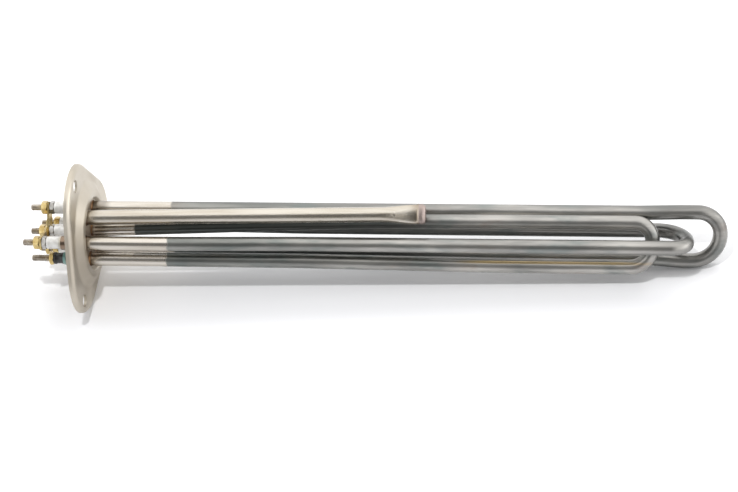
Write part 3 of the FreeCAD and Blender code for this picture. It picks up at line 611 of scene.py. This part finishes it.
def dress_sheaths():
    # Per sheath: how dark the oxide is past the step, with painted shade on shaded legs, and how far the
    # painted shade inside the bundle reaches; the short sheath also gets a painted gold highlight.
    dress("long_element_sheath", sheath_material(
        "long_sheath", LONG_COLD_END, tint_scale=1.2, dark_oxide_and_shade_legs=(0.9, 0.4), painted_shade_ends=(0.2, 0.0),
        darker_start=True))
    dress("middle_element_sheath", sheath_material(
        "middle_sheath", MIDDLE_COLD_END, tint_scale=1.5, dark_oxide_and_shade_legs=(0.85, 0.45), painted_shade_ends=(0.33, 0.0)))
    dress("short_element_sheath", sheath_material(
        "short_sheath", SHORT_COLD_END, tint_scale=1.8, dark_oxide_and_shade_legs=(0.5, 0.9), painted_shade_ends=(0.0, 0.2),
        upper_cold_end=SHORT_UPPER_COLD_END, painted_highlight=True))
    magnesia = dull_material("magnesia_powder", rgb(226, 222, 212), rgb(206, 200, 188), roughness=0.9)
    coil = metal_material("resistance_alloy", rgb(122, 118, 112), rgb(96, 92, 88), roughness=0.4)
    for name in ("long", "middle", "short"):
        dress(name + "_magnesia_filling", magnesia)
        dress(name + "_resistance_coil", coil)


def dress_flange_and_pocket():
    dress("flange", flange_material())
    dress("braze_rings", metal_material("braze_metal", rgb(120, 92, 66), rgb(70, 50, 38), roughness=0.35))
    steel = pocket_material()
    dress("thermostat_pocket", steel)
    add_pocket("thermostat_pocket", steel)


def dress_terminals():
    plated = metal_material("plated_steel", rgb(178, 176, 172), rgb(148, 145, 139), roughness=0.26)
    brass = metal_material("yellow_brass", rgb(208, 188, 134), rgb(174, 150, 96), roughness=0.24)
    stud = metal_material("stud_steel", rgb(186, 180, 170), rgb(150, 140, 128), roughness=0.26)
    white = ceramic_material()
    black = dull_material("black_moulding", rgb(38, 36, 36), rgb(24, 24, 25), roughness=0.3)
    seal = dull_material("pale_seal", rgb(205, 200, 188), rgb(170, 164, 150), roughness=0.5)
    sealant = dull_material("teal_sealant", rgb(120, 158, 150), rgb(92, 128, 122), roughness=0.4)
    white_bushed = ("long_upper", "long_lower", "middle_near", "middle_far", "short_upper")
    for name in white_bushed:
        dress(name + "_bush", white)
    for name in (*white_bushed, "short_lower"):
        dress(name + "_terminal_pin", stud)
        add_threaded_pin(name + "_terminal_pin", stud)
    dress("end_seals", seal)
    dress("short_lower_sealant", sealant)
    dress("short_lower_insulator", black)
    add_insulator("short_lower_insulator", black)
    dress("star_stop_nuts", plated)
    for name in ("star_link_straight", "star_link_cranked", "star_clamp_nuts", "phase_terminal_nuts"):
        dress(name, brass)


# Stage, lights and camera


def floor_tilt():
    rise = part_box("long_element_sheath")[0].z - LOBE_FOOT.z
    return math.atan2(rise, TIP_FOOT_X - LOBE_FOOT.x)


def add_floor():
    mesh = bpy.data.meshes.new("floor")
    half = FLOOR_SIZE / 2
    corners = [(-half, -half, 0), (half, -half, 0), (half, half, 0), (-half, half, 0)]
    mesh.from_pydata(corners, [], [(0, 1, 2, 3)])
    floor = bpy.data.objects.new("floor", mesh)
    bpy.context.scene.collection.objects.link(floor)
    floor.matrix_world = Matrix.Translation(LOBE_FOOT) @ Matrix.Rotation(-floor_tilt(), 4, "Y")
    mesh.materials.append(floor_material())


def add_room():
    """A white room with a dark side; metal shows it brighter than it lights the dull surfaces."""
    world = bpy.data.worlds.new("room")
    bpy.context.scene.world = world
    world.use_nodes = True
    room = Nodes(world.node_tree)
    direction = room.add("ShaderNodeTexCoord").outputs["Generated"]
    along, up = room.axis("X", direction), room.axis("Z", direction)
    towards_dark = room.add("ShaderNodeVectorMath", operation="DOT_PRODUCT")
    room.link(direction, towards_dark.inputs[0])
    towards_dark.inputs[1].default_value = DARK_SIDE
    dark_start, dark_full = DARK_SIDE_EDGE
    dark = room.ramp(towards_dark.outputs["Value"], (dark_start, 0.0), (dark_full, DARK_SIDE_DEPTH))
    aside = room.math("ABSOLUTE", room.plus(along, DARK_SIDE_SHIFT))
    inner_width, outer_width = DARK_SIDE_HALF_WIDTH
    dark = room.times(dark, room.ramp(aside, (inner_width, 1.0), (outer_width, 0.0)))
    light = room.math("SUBTRACT", 1.0, dark)
    light = room.times(light, room.ramp(up, (0.0, LOW_ROOM), (LOW_ROOM_HEIGHT, 1.0)))
    bright_start, bright_full = BRIGHT_END_EDGE
    light = room.times(light, room.ramp(along, (bright_start, 1.0), (bright_full, BRIGHT_END)))
    in_metal = room.add("ShaderNodeLightPath").outputs["Is Glossy Ray"]
    level = room.times(light, room.ramp(in_metal, (0.0, DULL_ROOM), (1.0, METAL_ROOM)))
    background = room.tree.nodes["Background"]
    background.inputs["Color"].default_value = ROOM_WHITE
    room.link(level, background.inputs["Strength"])


def add_lamp(name, offset, size, power):
    """A lamp that looks at the middle of the part and that its metal doesn't show."""
    data = bpy.data.lights.new(name, "AREA")
    data.shape = "RECTANGLE"
    data.size, data.size_y = size
    data.energy = power
    lamp = bpy.data.objects.new(name, data)
    bpy.context.scene.collection.objects.link(lamp)
    lamp.location = PART_MIDDLE + offset
    lamp.rotation_euler = (-offset).to_track_quat("-Z", "Y").to_euler()
    lamp.visible_glossy = False


def add_camera():
    data = bpy.data.cameras.new("camera")
    data.lens = CAMERA_LENS
    data.sensor_width = SENSOR_WIDTH
    data.clip_end = CAMERA_SIGHT
    camera = bpy.data.objects.new("camera", data)
    bpy.context.scene.collection.objects.link(camera)
    look = (CAMERA_AIM - CAMERA_PLACE).to_track_quat("-Z", "Y").to_matrix().to_4x4()
    camera.matrix_world = Matrix.Translation(CAMERA_PLACE) @ look @ Matrix.Rotation(CAMERA_ROLL, 4, "Z")
    bpy.context.scene.camera = camera


dress_flange_and_pocket()
dress_sheaths()
dress_terminals()
add_floor()
add_room()
add_lamp("key", KEY_OFFSET, KEY_SIZE, KEY_POWER)
add_lamp("window", WINDOW_OFFSET, WINDOW_SIZE, WINDOW_POWER)
add_camera()
bpy.context.scene.view_settings.view_transform = "Standard"
